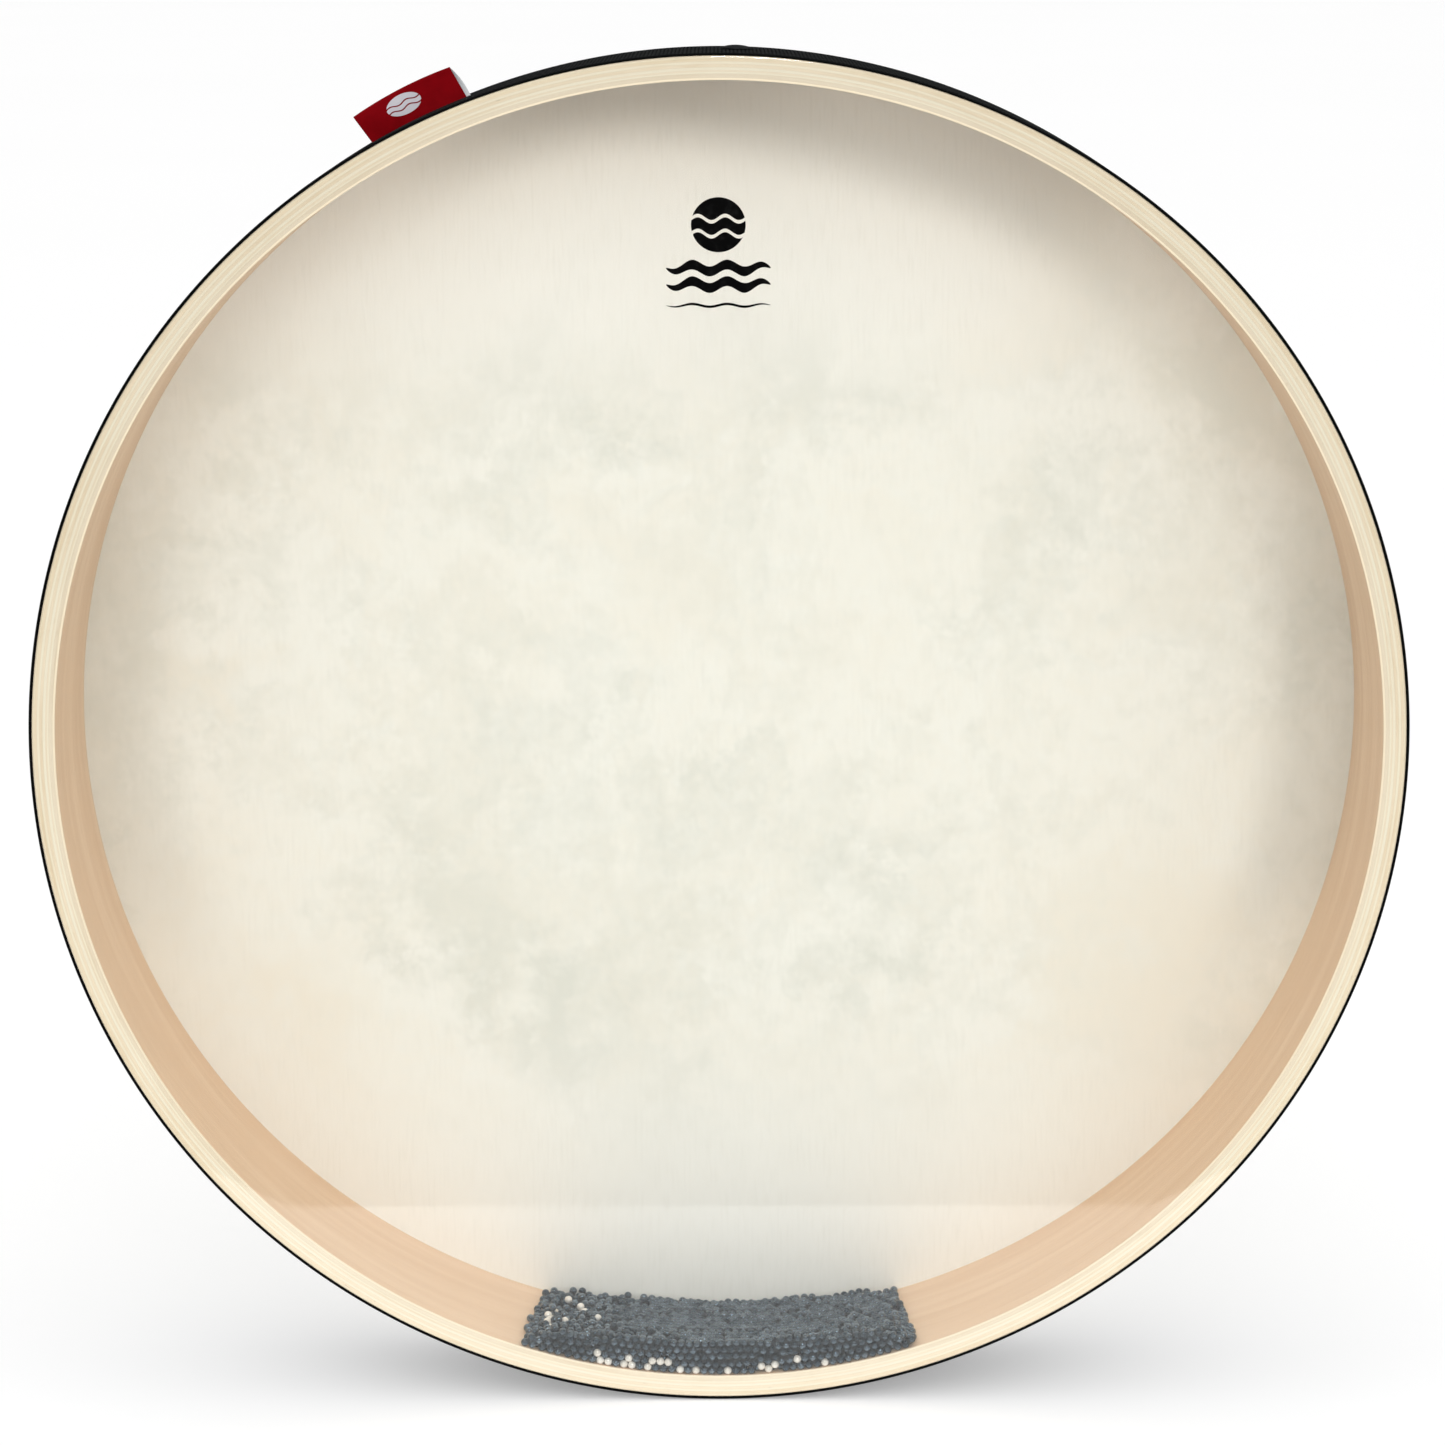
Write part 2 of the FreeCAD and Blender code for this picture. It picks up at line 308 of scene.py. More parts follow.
def skin_material():
    """Ivory drum skin: wispy grey-green and cream patches, partly its own mottling and partly painted light
    and shade, fine fibres, a dull sheen. It has painted light low down and high up. Its inner face has
    painted shade along the hoop, most of it at the top."""
    material, tree, shader = new_material("drum_skin")
    _, x, _, z = position(tree)
    plane = combined(tree, x, 0.0, z)
    ripple = add(tree, "TexNoise", {"Vector": plane, "Scale": 14.0, "Detail": 7.0, "Roughness": 0.68})
    centred = add(tree, "VectorMath", {0: ripple.outputs["Color"], 1: (0.5, 0.5, 0.5)}, operation="SUBTRACT")
    moved = add(tree, "VectorMath", {0: centred.outputs[0], "Scale": 0.16}, operation="SCALE")
    place = add(tree, "VectorMath", {0: plane, 1: moved.outputs[0]}, operation="ADD").outputs[0]
    marble = noise(tree, place, 9.0, detail=9.0, roughness=0.70, distortion=0.8)
    fine = noise(tree, plane, 75.0, detail=7.0, roughness=0.75)
    elsewhere = add(tree, "Mapping", {0: place, "Location": (3.0, 0.0, 1.0)}).outputs[0]
    tinge = noise(tree, elsewhere, 13.0, detail=9.0, roughness=0.75)
    dark_sum = ramp(tree, marble, 0.25, 0.75, -0.50, 1.05)
    dark_sum = math_node(tree, "ADD", dark_sum, ramp(tree, fine, 0.2, 0.8, -0.45, 0.45))
    warm_sum = ramp(tree, tinge, 0.25, 0.75, -0.35, 0.85)
    for cloud_x, cloud_z, radius, how_dark, how_warm in CLOUDS:
        middle = (cloud_x * MM, 0.0, cloud_z * MM)
        gap = add(tree, "VectorMath", {0: place, 1: middle}, operation="DISTANCE")
        patch = ramp(tree, gap.outputs["Value"], 1.3 * radius * MM, 0.1 * radius * MM)
        dark_sum = math_node(tree, "MULTIPLY_ADD", patch, how_dark, dark_sum)
        warm_sum = math_node(tree, "MULTIPLY_ADD", patch, how_warm, warm_sum)
    fibre_place = add(tree, "Mapping", {0: plane, "Scale": (900.0, 1.0, 90.0)}).outputs[0]
    fibre = noise(tree, fibre_place, 1.0, detail=2.0)
    # painted light: the skin paler high up, less so to the right, and paler low down; its patches are fainter
    # there
    high = times(tree, ramp(tree, z, 0.10, 0.17), ramp(tree, x, 0.16, 0.09, 0.4, 1.0))
    painted_light = math_node(tree, "MAXIMUM", ramp(tree, z, -0.10, -0.20), high)
    dark = times(tree, dark_sum, ramp(tree, painted_light, 0.0, 1.0, 0.9, 0.6), clamp=True)
    shade = mix_colour(tree, dark, (0.940, 0.922, 0.845), (0.790, 0.785, 0.705))
    warm = times(tree, warm_sum, 0.8, clamp=True)
    shade = mix_colour(tree, warm, shade, (0.925, 0.875, 0.765))
    shade = mix_colour(tree, times(tree, painted_light, 0.90), shade, (0.980, 0.962, 0.900))
    shade = mix_colour(tree, ramp(tree, fibre, 0.45, 0.75, 0.0, 0.22), shade, (0.80, 0.78, 0.70))
    reach = add(tree, "VectorMath", {0: plane}, operation="LENGTH").outputs["Value"]
    past_edge = math_node(tree, "SUBTRACT", reach, ramp(tree, x, -0.07, 0.07, 0.014, 0.0))
    # painted shadow of the hoop on the skin's upper part
    painted_hoop_shadow = times(tree, ramp(tree, past_edge, SKIN_EDGE_START, SKIN_EDGE_END), ramp(tree, z, 0.12, 0.215))
    for across in ((-0.13, -0.05, 0.10, 0.42), (-0.02, 0.06, 1.0, 0.67), (0.11, 0.16, 1.0, 0.4)):
        painted_hoop_shadow = times(tree, painted_hoop_shadow, ramp(tree, x, *across))
    # painted shade along the hoop on the skin's sides
    painted_side_shade = times(tree, ramp(tree, reach, SKIN_EDGE_START, SKIN_EDGE_END), ramp(tree, painted_light, 0, 1, 1, 0))
    painted_side_shade = times(tree, painted_side_shade, ramp(tree, x, -0.1, 0.15, 0.13, 0.20))
    painted_side_shade = times(tree, painted_side_shade, ramp(tree, z, -0.11, -0.05))
    painted_side_shade = times(tree, painted_side_shade, ramp(tree, z, 0.12, 0.03, 0.2, 1.0))
    painted_hoop_shadow = math_node(tree, "ADD", painted_hoop_shadow, painted_side_shade)
    normal = add(tree, "NewGeometry").outputs["Normal"]
    facing_back = add(tree, "SeparateXYZ", {0: normal}).outputs[1]
    # the painted shade lies only on the skin's inner face
    painted_hoop_shadow = times(tree, painted_hoop_shadow, ramp(tree, facing_back, 0.2, -0.2))
    shade = mix_colour(tree, painted_hoop_shadow, shade, (0.06, 0.05, 0.03))
    height = math_node(tree, "MULTIPLY_ADD", fibre, 0.35, fine)
    bump(tree, shader, height, 0.06 * MM, 0.5)
    feed(tree, shader, Base_Color=shade, Roughness=ramp(tree, fine, 0.3, 0.7, 0.48, 0.66))
    return material


def tape_material():
    """Black ribbed tape: matt weave, with painted sheen that makes the crowns of its ribs greyer."""
    material, tree, shader = new_material("black_ribbed_tape", Specular_IOR_Level=0.08)
    vector, _, _, _ = position(tree)
    narrowed = add(tree, "Mapping", {0: vector, "Scale": (1.0, 2.2, 1.0)}).outputs[0]
    weave = noise(tree, narrowed, 2600.0, detail=2.0)
    dust = noise(tree, vector, 60.0, detail=4.0, roughness=0.7)
    crown = add(tree, "Attribute", attribute_name="crown").outputs["Fac"]
    # painted sheen: the ribs' crowns greyer
    grey = times(tree, crown, ramp(tree, weave, 0.35, 0.65, 0.4, 1.0))
    shade = mix_colour(tree, grey, (0.0008, 0.0009, 0.0010), (0.030, 0.033, 0.034))
    shade = mix_colour(tree, ramp(tree, dust, 0.5, 0.8, 0.0, 0.15), shade, (0.016, 0.016, 0.016))
    bump(tree, shader, weave, 0.08 * MM, 0.8)
    feed(tree, shader, Base_Color=shade, Roughness=ramp(tree, weave, 0.3, 0.7, 0.6, 0.85))
    return material


SATIN_RIB = 0.42 * MM


def satin_material(name, colour, dark, rib=SATIN_RIB):
    """Woven satin ribbon with fine ribs of the given spacing."""
    material, tree, shader = new_material(name, Specular_IOR_Level=0.02)
    vector, _, _, _ = position(tree)
    turned = add(tree, "Mapping", {0: vector, "Rotation": (0.0, -LABEL_ANGLE, 0.0)}).outputs[0]
    parts = add(tree, "SeparateXYZ", {0: turned})
    warp = math_node(tree, "SINE", times(tree, parts.outputs[0], 2 * math.pi / rib))
    weft = math_node(tree, "SINE", times(tree, parts.outputs[2], 2 * math.pi / (rib * 0.8)))
    weave = times(tree, warp, weft)
    cloudy = noise(tree, vector, 160.0, detail=3.0)
    shade = mix_colour(tree, ramp(tree, weave, -1.0, 1.0, 0.0, 0.2), colour, dark)
    shade = mix_colour(tree, ramp(tree, cloudy, 0.35, 0.7, 0.0, 0.4), shade, dark)
    bump(tree, shader, weave, 0.03 * MM, 0.35)
    feed(tree, shader, Base_Color=shade, Roughness=ramp(tree, cloudy, 0.3, 0.7, 0.45, 0.6))
    return material


def plug_material():
    """Black moulded plastic, faintly grained."""
    material, tree, shader = new_material("black_plug")
    vector, _, _, _ = position(tree)
    grain = noise(tree, vector, 2200.0, detail=3.0)
    wear = noise(tree, vector, 240.0, detail=4.0)
    shade = mix_colour(tree, ramp(tree, wear, 0.4, 0.75), (0.006, 0.0065, 0.007), (0.020, 0.021, 0.022))
    bump(tree, shader, grain, 0.03 * MM, 0.5)
    feed(tree, shader, Base_Color=shade, Roughness=ramp(tree, wear, 0.3, 0.7, 0.38, 0.55))
    return material


def ball_material(name, dull, bright, roughness, metallic):
    """Polished balls, each a little different in tone and scuffed."""
    material, tree, shader = new_material(name, Metallic=metallic)
    vector, _, _, _ = position(tree)
    each = add(tree, "Attribute", attribute_name="tone").outputs["Fac"]
    scuff = noise(tree, vector, 1500.0, detail=3.0, roughness=0.6)
    shade = mix_colour(tree, each, dull, bright)
    shade = mix_colour(tree, ramp(tree, scuff, 0.5, 0.75, 0.0, 0.3), shade, dull)
    bump(tree, shader, scuff, 0.01 * MM, 0.15)
    feed(tree, shader, Base_Color=shade,
         Roughness=ramp(tree, scuff, 0.3, 0.7, roughness * 0.8, roughness * 1.3))
    return material


def ink_material():
    """Matt black print on the film, a touch thinner in places."""
    material, tree, shader = new_material("black_ink", Specular_IOR_Level=0.04)
    vector, _, _, _ = position(tree)
    patchy = noise(tree, vector, 500.0, detail=4.0)
    shade = mix_colour(tree, ramp(tree, patchy, 0.45, 0.8), (0.0015, 0.0015, 0.0015), (0.006, 0.006, 0.006))
    bump(tree, shader, patchy, 0.01 * MM, 0.3)
    feed(tree, shader, Base_Color=shade, Roughness=ramp(tree, patchy, 0.3, 0.7, 0.55, 0.7))
    return material


def floor_material():
    """Pale floor that also glows a little, so that the drum's shadow stays soft."""
    material, tree, shader = new_material("studio_floor", Roughness=0.9, Specular_IOR_Level=0.1,
                                          Emission_Color=(1.0, 1.0, 1.0, 1.0), Emission_Strength=0.28)
    vector, _, _, _ = position(tree)
    tint = ramp(tree, noise(tree, vector, 0.6, detail=2.0), 0.3, 0.7)
    feed(tree, shader, Base_Color=mix_colour(tree, tint, (0.750, 0.750, 0.750), (0.755, 0.755, 0.755)))
    return material


# ---- mesh helpers

SMOOTH_ANGLE = math.radians(35.0)
CLEAR_OF_OPENING = 6 * MM  # rows nearer to the middle than this give way to an opening's edges


def make_object(name, vertices, faces, materials):
    mesh = bpy.data.meshes.new(name)
    mesh.from_pydata([tuple(v) for v in vertices], [], faces)
    for material in materials:
        mesh.materials.append(material)
    mesh.shade_smooth()
    mesh.set_sharp_from_angle(angle=SMOOTH_ANGLE)
    thing = bpy.data.objects.new(name, mesh)
    bpy.context.scene.collection.objects.link(thing)
    return thing


def point_values(thing, name, values):
    attribute = thing.data.attributes.new(name, "FLOAT", "POINT")
    attribute.data.foreach_set("value", np.asarray(values, dtype=np.float32))


def placed(piece, body, slot):
    """The piece rides on that body. slot is not used."""
    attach(piece, body)
    return piece


def round_columns(count, extra):
    """Angles of a ring's columns: evenly spaced ones, and the extra ones that an opening needs."""
    even = np.arange(count) * 2 * math.pi / count
    angles = np.concatenate([even, extra % (2 * math.pi)])
    angles = np.unique(np.round(angles, 9))
    return angles[np.append(np.diff(angles) > 1e-6, True)]


def signed(angles):
    """The same angles, from -pi to pi."""
    return (angles + math.pi) % (2 * math.pi) - math.pi


def plug_columns(radius):
    """Column angles that follow the edge of the plug's hole."""
    steps = np.linspace(-math.pi / 2, math.pi / 2, 25)
    return PLUG_ANGLE + np.arcsin(PLUG_HOLE_RADIUS * np.sin(steps) / radius)


def plug_opening(angles, radius):
    """Half-length along Y of the plug's hole at each column."""
    side = np.sin(signed(angles - PLUG_ANGLE)) * radius
    near = np.abs(signed(angles - PLUG_ANGLE)) < 0.1
    half = np.sqrt(np.clip(PLUG_HOLE_RADIUS ** 2 - side ** 2, 0, None))
    return np.where(near & (half > 1e-6), half, 0.0)


def band(name, outer, inner, angles, middle, half, materials, relief=None):
    """A closed ring. outer and inner list (radius, y) from front to back on its two long faces. At each
    column an opening of the given half-length lies about middle. relief(y) adds to the outer radius, one
    value for each column."""
    rows, gaps = [], []
    for chain, rise, order in ((outer, relief, 1), (inner, None, -1)):
        radii, depths = zip(*chain)
        plain = [(np.full(len(angles), r), np.full(len(angles), y)) for r, y in chain]
        front = [row for row in plain if row[1][0] < -CLEAR_OF_OPENING]
        back = [row for row in plain if row[1][0] > CLEAR_OF_OPENING]
        edges = [(np.interp(y, depths, radii), y) for y in (middle - half, middle + half)]
        chain_rows = front + edges + back
        if rise:
            chain_rows = [(r + rise(y), y) for r, y in chain_rows]
        gaps.append(len(rows) + len(front if order == 1 else back))
        rows += chain_rows[::order]
    radius, depth = (np.array(part) for part in zip(*rows))
    vertices = np.stack([radius * np.sin(angles), depth, radius * np.cos(angles)], axis=-1)
    count, columns = radius.shape

    def quad(row, following, column):
        beside = (column + 1) % columns
        return (row * columns + column, row * columns + beside,
                following * columns + beside, following * columns + column)

    faces = [quad(row, (row + 1) % count, column)
             for row in range(count) if row not in gaps for column in range(columns)]
    for column in np.flatnonzero((half > 0) | (np.roll(half, -1) > 0)).tolist():
        faces += [quad(gaps[0], gaps[1] + 1, column), quad(gaps[1], gaps[0] + 1, column)]
    return make_object(name, vertices.reshape(-1, 3), faces, materials), count, columns


DOUBLED = 0.0002 * MM  # points closer than this are one point


def tidy_mesh(piece, smooth_angle=SMOOTH_ANGLE):
    """Joins doubled points, drops empty faces and turns the faces outwards."""
    work = bmesh.new()
    work.from_mesh(piece.data)
    bmesh.ops.remove_doubles(work, verts=work.verts, dist=DOUBLED)
    bmesh.ops.dissolve_degenerate(work, edges=work.edges, dist=DOUBLED)
    bmesh.ops.recalc_face_normals(work, faces=work.faces)
    work.to_mesh(piece.data)
    work.free()
    piece.data.shade_smooth()
    piece.data.set_sharp_from_angle(angle=smooth_angle)
    return piece


# ---- hoop

VENEERS = (  # colour, strength of its streaks and of its pores, from the outside inwards
    ((0.94, 0.80, 0.60), 0.30, 0.30),
    ((0.91, 0.76, 0.55), 0.45, 0.60),
    ((0.96, 0.84, 0.66), 0.20, 0.20),
    ((0.92, 0.78, 0.58), 0.40, 0.50),
    ((0.96, 0.85, 0.68), 0.20, 0.20),
    ((0.93, 0.79, 0.59), 0.35, 0.45),
    ((0.96, 0.84, 0.66), 0.25, 0.25),
    ((0.89, 0.76, 0.58), 0.45, 0.55),
)
HOOP_COLUMNS = 1080


def corner_arc(radius, y, size, steps, side):
    """Points of a rounded outer edge at y, in order along Y. side is -1 at the front."""
    turns = [i * math.pi / 2 / steps for i in range(steps + 1)]
    points = [(radius - size + size * math.sin(t), y - side * size + side * size * math.cos(t))
              for t in turns]
    return points if side < 0 else points[::-1]


def hoop_ply(index, node):
    """One veneer ring with the plug's hole through it."""
    _, outer_radius = radial_range(node)
    last = index == len(PLIES) - 1
    inner_radius = CHAMBER_RADIUS if last else radial_range(PLIES[index + 1])[1]
    if index == 0:
        outer = corner_arc(outer_radius, HOOP_FRONT, SHOULDER, 4, -1)
        outer += corner_arc(outer_radius, HOOP_BACK, SHOULDER, 4, 1)
    else:
        outer = [(outer_radius, HOOP_FRONT), (outer_radius, HOOP_BACK)]
    inner = [(inner_radius, HOOP_FRONT), (inner_radius, HOOP_BACK)]
    if last:
        soft = 0.2 * MM  # width of the bevel at the inner edges
        inner = [(inner_radius + soft, HOOP_FRONT), (inner_radius, HOOP_FRONT + soft),
                 (inner_radius, HOOP_BACK - soft), (inner_radius + soft, HOOP_BACK)]
        material = wall_veneer()
    else:
        colour, streak, pores = VENEERS[index]
        material = veneer("veneer_%d" % (index + 1), colour, streak, pores)
    angles = round_columns(HOOP_COLUMNS, plug_columns(outer_radius))
    half = plug_opening(angles, outer_radius)
    piece, rows, columns = band("veneer_ring_%d" % (index + 1), outer, inner, angles,
                                np.zeros(len(angles)), half, [material])
    across = np.zeros((rows, columns))
    across[:len(outer) + 2] = 1.0
    point_values(piece, "across", across.ravel())
    tidy_mesh(piece)
    slot = "veneer_face" if last else ("veneer_light", "veneer_dark")[index % 2]
    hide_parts(node)
    return placed(piece, "drum", slot)


for index, node in enumerate(PLIES):
    hoop_ply(index, node)


# ---- film and skin

def revolve(name, outline, columns, materials):
    """A surface swept round the drum's axis. outline lists (radius, y); a radius of 0 is a pole."""
    angles = np.arange(columns) * 2 * math.pi / columns
    vertices, rings = [], []
    for radius, y in outline:
        if radius == 0:
            rings.append([len(vertices)] * columns)
            vertices.append((0.0, y, 0.0))
        else:
            rings.append(list(range(len(vertices), len(vertices) + columns)))
            vertices += [(radius * math.sin(a), y, radius * math.cos(a)) for a in angles]
    faces = []
    for here, there in zip(rings, rings[1:]):
        for i in range(columns):
            j = (i + 1) % columns
            corners = [here[i], here[j], there[j], there[i]]
            faces.append([c for k, c in enumerate(corners) if c not in corners[:k]])
    return make_object(name, vertices, faces, materials)


FOLD_STEPS = 7
HAIR = 0.015 * MM  # the sheets stand this clear of the hoop, because faces in one plane flicker


def membrane(name, side, thickness, lap_end, materials):
    """A head and its lap in one sheet: flat, folded over the shoulder, then down outside the hoop."""
    inner_face = HOOP_FRONT if side < 0 else HOOP_BACK
    fold_y = inner_face - side * SHOULDER
    turns = [i * math.pi / 2 / FOLD_STEPS for i in range(FOLD_STEPS + 1)]
    rings = [FOLD_START * part for part in (0.0, 0.25, 0.5, 0.75, 0.95)]

    def face(offset):
        flat = [(r, inner_face + side * offset) for r in rings]
        size = SHOULDER + offset
        fold = [(FOLD_START + size * math.sin(t), fold_y + side * size * math.cos(t)) for t in turns]
        return flat + fold + [(HOOP_RADIUS + offset, lap_end)]

    outline = face(HAIR) + face(thickness)[::-1]
    piece = revolve(name, outline, HOOP_COLUMNS, materials)
    return tidy_mesh(piece)


film = membrane("film_sheet", -1, FILM_THICKNESS, FILM_LAP_END, [film_material()])
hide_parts("film_head", "film_lap")
placed(film, "drum", "clear_film")

skin = membrane("skin_sheet", 1, SKIN_THICKNESS, SKIN_LAP_END, [skin_material()])
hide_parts("skin_head", "skin_lap")
placed(skin, "drum", "skin")


# ---- ribbed tape

RIBS = 1148
STEPS_PER_RIB = 6
RIB_HEIGHT = 0.24 * MM
RIB_SHARPNESS = 0.7
BORDER = 1.1 * MM  # the ribs fade out over this width at the tape's two edges
TAPE_EDGE = 0.45 * MM
TAPE_THICKNESS = TAPE_RADIUS - HOOP_RADIUS - SKIN_THICKNESS
SLIT_FRONT = 2.3 * MM
SLIT_BACK = 3.5 * MM
LABEL_HALF_WIDTH = 19.5 * MM


def rim_tape():
    """The tape round the hoop: ribs across its width, bound edges, the plug's hole and the label's slit."""
    angles = round_columns(RIBS * STEPS_PER_RIB, plug_columns(TAPE_RADIUS))
    hole = plug_opening(angles, TAPE_RADIUS)
    slit_reach = LABEL_HALF_WIDTH / TAPE_RADIUS
    in_slit = np.abs(signed(angles - LABEL_ANGLE)) < slit_reach
    half = np.where(in_slit, (SLIT_BACK - SLIT_FRONT) / 2, hole)
    middle = np.where(in_slit, (SLIT_BACK + SLIT_FRONT) / 2, 0.0)
    profile = np.abs(np.sin(angles * RIBS / 2)) ** RIB_SHARPNESS

    def relief(y):
        inside = np.clip((TAPE_BACK - np.abs(y)) / BORDER - 0.35, 0.0, 1.0)
        return -RIB_HEIGHT * (1 - profile) * inside

    def lap_radius(y):
        return HOOP_RADIUS + np.interp(y, (FILM_LAP_END, SKIN_LAP_END), (FILM_THICKNESS, SKIN_THICKNESS))

    inner_ys = (TAPE_FRONT, FILM_LAP_END, SKIN_LAP_END, TAPE_BACK)
    inner = [(float(lap_radius(y)), y) for y in inner_ys]
    outer_ys = (TAPE_FRONT + TAPE_EDGE, TAPE_FRONT + 1.6 * MM, -20 * MM, FILM_LAP_END,
                SKIN_LAP_END, 20 * MM, TAPE_BACK - 1.6 * MM, TAPE_BACK - TAPE_EDGE)
    outer = [(float(lap_radius(TAPE_FRONT)) + TAPE_THICKNESS - TAPE_EDGE, TAPE_FRONT)]
    outer += [(float(lap_radius(y)) + TAPE_THICKNESS, y) for y in outer_ys]
    outer += [(float(lap_radius(TAPE_BACK)) + TAPE_THICKNESS - TAPE_EDGE, TAPE_BACK)]
    piece, rows, columns = band("ribbed_tape", outer, inner, angles, middle, half, [tape_material()], relief)
    # crown marks the ribs' crowns, where the tape's painted sheen lies
    crown = np.zeros((rows, columns))
    crown[1:len(outer) + 1] = profile
    point_values(piece, "crown", crown.ravel())
    tidy_mesh(piece, smooth_angle=math.radians(75.0))
    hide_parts("rim_tape")
    return placed(piece, "drum", "ribbed_tape")


rim_tape()


# ---- strips: print and label mark

def strip(name, lines, place, thickness, materials):
    """A thin closed plate. lines gives (u, low, high) from left to right, and place(u, v, lift) puts a
    point of it in space."""
    vertices = []
    for u, low, high in lines:
        for v in (low, high):
            for lift in (0.0, thickness):
                vertices.append(place(u, v, lift))
    faces = []
    for i in range(len(lines) - 1):
        a, b = 4 * i, 4 * i + 4
        faces += [(a + 1, b + 1, b + 3, a + 3), (a, a + 2, b + 2, b),
                  (a, b, b + 1, a + 1), (a + 2, a + 3, b + 3, b + 2)]
    end = 4 * len(lines) - 4
    faces += [(0, 1, 3, 2), (end, end + 2, end + 3, end + 1)]
    piece = make_object(name, vertices, faces, materials)
    return tidy_mesh(piece)


def wave(u, length, height):
    return height * math.sin(2 * math.pi * u / length)


def wave_band(width, thickness, length, height, steps=72):
    """A wavy ribbon that thins out towards its two ends."""
    lines = []
    for i in range(steps + 1):
        u = -width / 2 + width * i / steps
        taper = min(1.0, 4.0 * min(i, steps - i) / steps) ** 0.5
        middle = wave(u, length, height)
        lines.append((u, middle - thickness / 2 * taper, middle + thickness / 2 * taper))
    return lines


def disc_between(radius, low, high, steps=64):
    """The part of a disc between two curves of u."""
    lines = []
    for i in range(steps + 1):
        u = -radius * math.cos(math.pi * i / steps)
        reach = math.sqrt(max(radius ** 2 - u ** 2, 0.0))
        bottom, top = max(-reach, low(u)), min(reach, high(u))
        if top > bottom - 1e-9 or lines:
            lines.append((u, bottom, max(top, bottom)))
    return lines


def wave_disc(radius):
    """A disc's three parts, parted by two wavy gaps."""
    gap = 0.13 * radius

    def upper(u):
        return 0.22 * radius + wave(u, radius, 0.115 * radius)

    def lower(u):
        return -0.32 * radius + wave(u, radius, 0.115 * radius)

    return (disc_between(radius, lambda u: upper(u) + gap / 2, lambda u: radius),
            disc_between(radius, lambda u: lower(u) + gap / 2, lambda u: upper(u) - gap / 2),
            disc_between(radius, lambda u: -radius, lambda u: lower(u) - gap / 2))


def joined(pieces, name):
    """One object from several."""
    bpy.ops.object.select_all(action="DESELECT")
    for piece in pieces:
        piece.select_set(True)
    bpy.context.view_layer.objects.active = pieces[0]
    bpy.ops.object.join()
    pieces[0].name = name
    return pieces[0]


EMBLEM_RADIUS = 9.6 * MM
EMBLEM_Z = 190.5 * MM
RIBBON_WIDTH = 37 * MM
RIBBONS = ((175.4, 3.5, 1.2), (169.6, 3.5, 1.2), (162.3, 0.9, 0.5))  # height, thickness, wave in mm
INK_THICKNESS = 0.02 * MM


def film_print():
    """A plain wave emblem: a disc cut by two wavy gaps, with wavy ribbons under it."""
    ink = ink_material()

    def at(height):
        return lambda u, v, lift: (u, FILM_FACE - 0.004 * MM - lift, height + v)

    pieces = [strip("ink", part, at(EMBLEM_Z), INK_THICKNESS, [ink]) for part in wave_disc(EMBLEM_RADIUS)]
    for level, thickness, height in RIBBONS:
        lines = wave_band(RIBBON_WIDTH, thickness * MM, RIBBON_WIDTH / 3, height * MM)
        pieces.append(strip("ink", lines, at(level * MM), INK_THICKNESS, [ink]))
    return placed(joined(pieces, "printed_emblem"), "drum", "plug_plastic")


film_print()


# ---- label

LABEL_LEAF = 0.34 * MM
LABEL_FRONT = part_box("label")[0].y
LABEL_SINK = 1.2 * MM
BASE_LEFT, BASE_RIGHT = -18.3 * MM, 19.4 * MM
TOP_LEFT, TOP_RIGHT = -20.3 * MM, 18.6 * MM
TOP_LEFT_HEIGHT, TOP_RIGHT_HEIGHT = 10.6 * MM, 11.5 * MM
TOP_ARCH = 1.25 * MM
LABEL_HEIGHT = 11.9 * MM  # at the label's middle
LABEL_GAP_LEFT, LABEL_GAP_RIGHT = 0.10 * MM, 2.3 * MM
LEAVES = 2 * LABEL_LEAF + 0.06 * MM  # distance of the two leaves' front faces
BACK_SHIFT = 1.5 * MM


def lerp(a, b, t):
    """From a at t = 0 to b at t = 1."""
    return a + (b - a) * t


def on_label(u, v, lift=0.0):
    """A point of the front leaf. u runs 0 to 1 from left to right, v 0 to 1 from the tape to the fold."""
    along = lerp(lerp(BASE_LEFT, TOP_LEFT, v), lerp(BASE_RIGHT, TOP_RIGHT, v), u)
    arch = 1 - (2 * u - 1) ** 2
    foot = math.sqrt(TAPE_RADIUS ** 2 - along ** 2)
    top = math.sqrt(TAPE_RADIUS ** 2 - LABEL_HALF_WIDTH ** 2) + lerp(TOP_LEFT_HEIGHT, TOP_RIGHT_HEIGHT, u)
    out = lerp(foot, top + TOP_ARCH * arch, v)
    sway = 0.25 * MM * math.sin(math.pi * v) * math.sin(2 * math.pi * u)
    return along, LABEL_FRONT - sway - lift, out


def on_back_leaf(u, v):
    """A point of the back leaf, which bows away and stands a little to the right."""
    along, y, out = on_label(u, v)
    gap = lerp(LABEL_GAP_LEFT, LABEL_GAP_RIGHT, u ** 1.4)
    bow = gap * math.sin(math.pi * v) ** 0.75
    shift = BACK_SHIFT * (1 - v) + 0.5 * MM * math.sin(math.pi * v)
    return along + shift * u, y + LEAVES + bow, out


def to_frame(along, y, out):
    """From the label's own axes, along the tape and out from the hoop, to the row frame."""
    side = (math.cos(LABEL_ANGLE), -math.sin(LABEL_ANGLE))
    radial = (math.sin(LABEL_ANGLE), math.cos(LABEL_ANGLE))
    return (along * side[0] + out * radial[0], y, along * side[1] + out * radial[1])


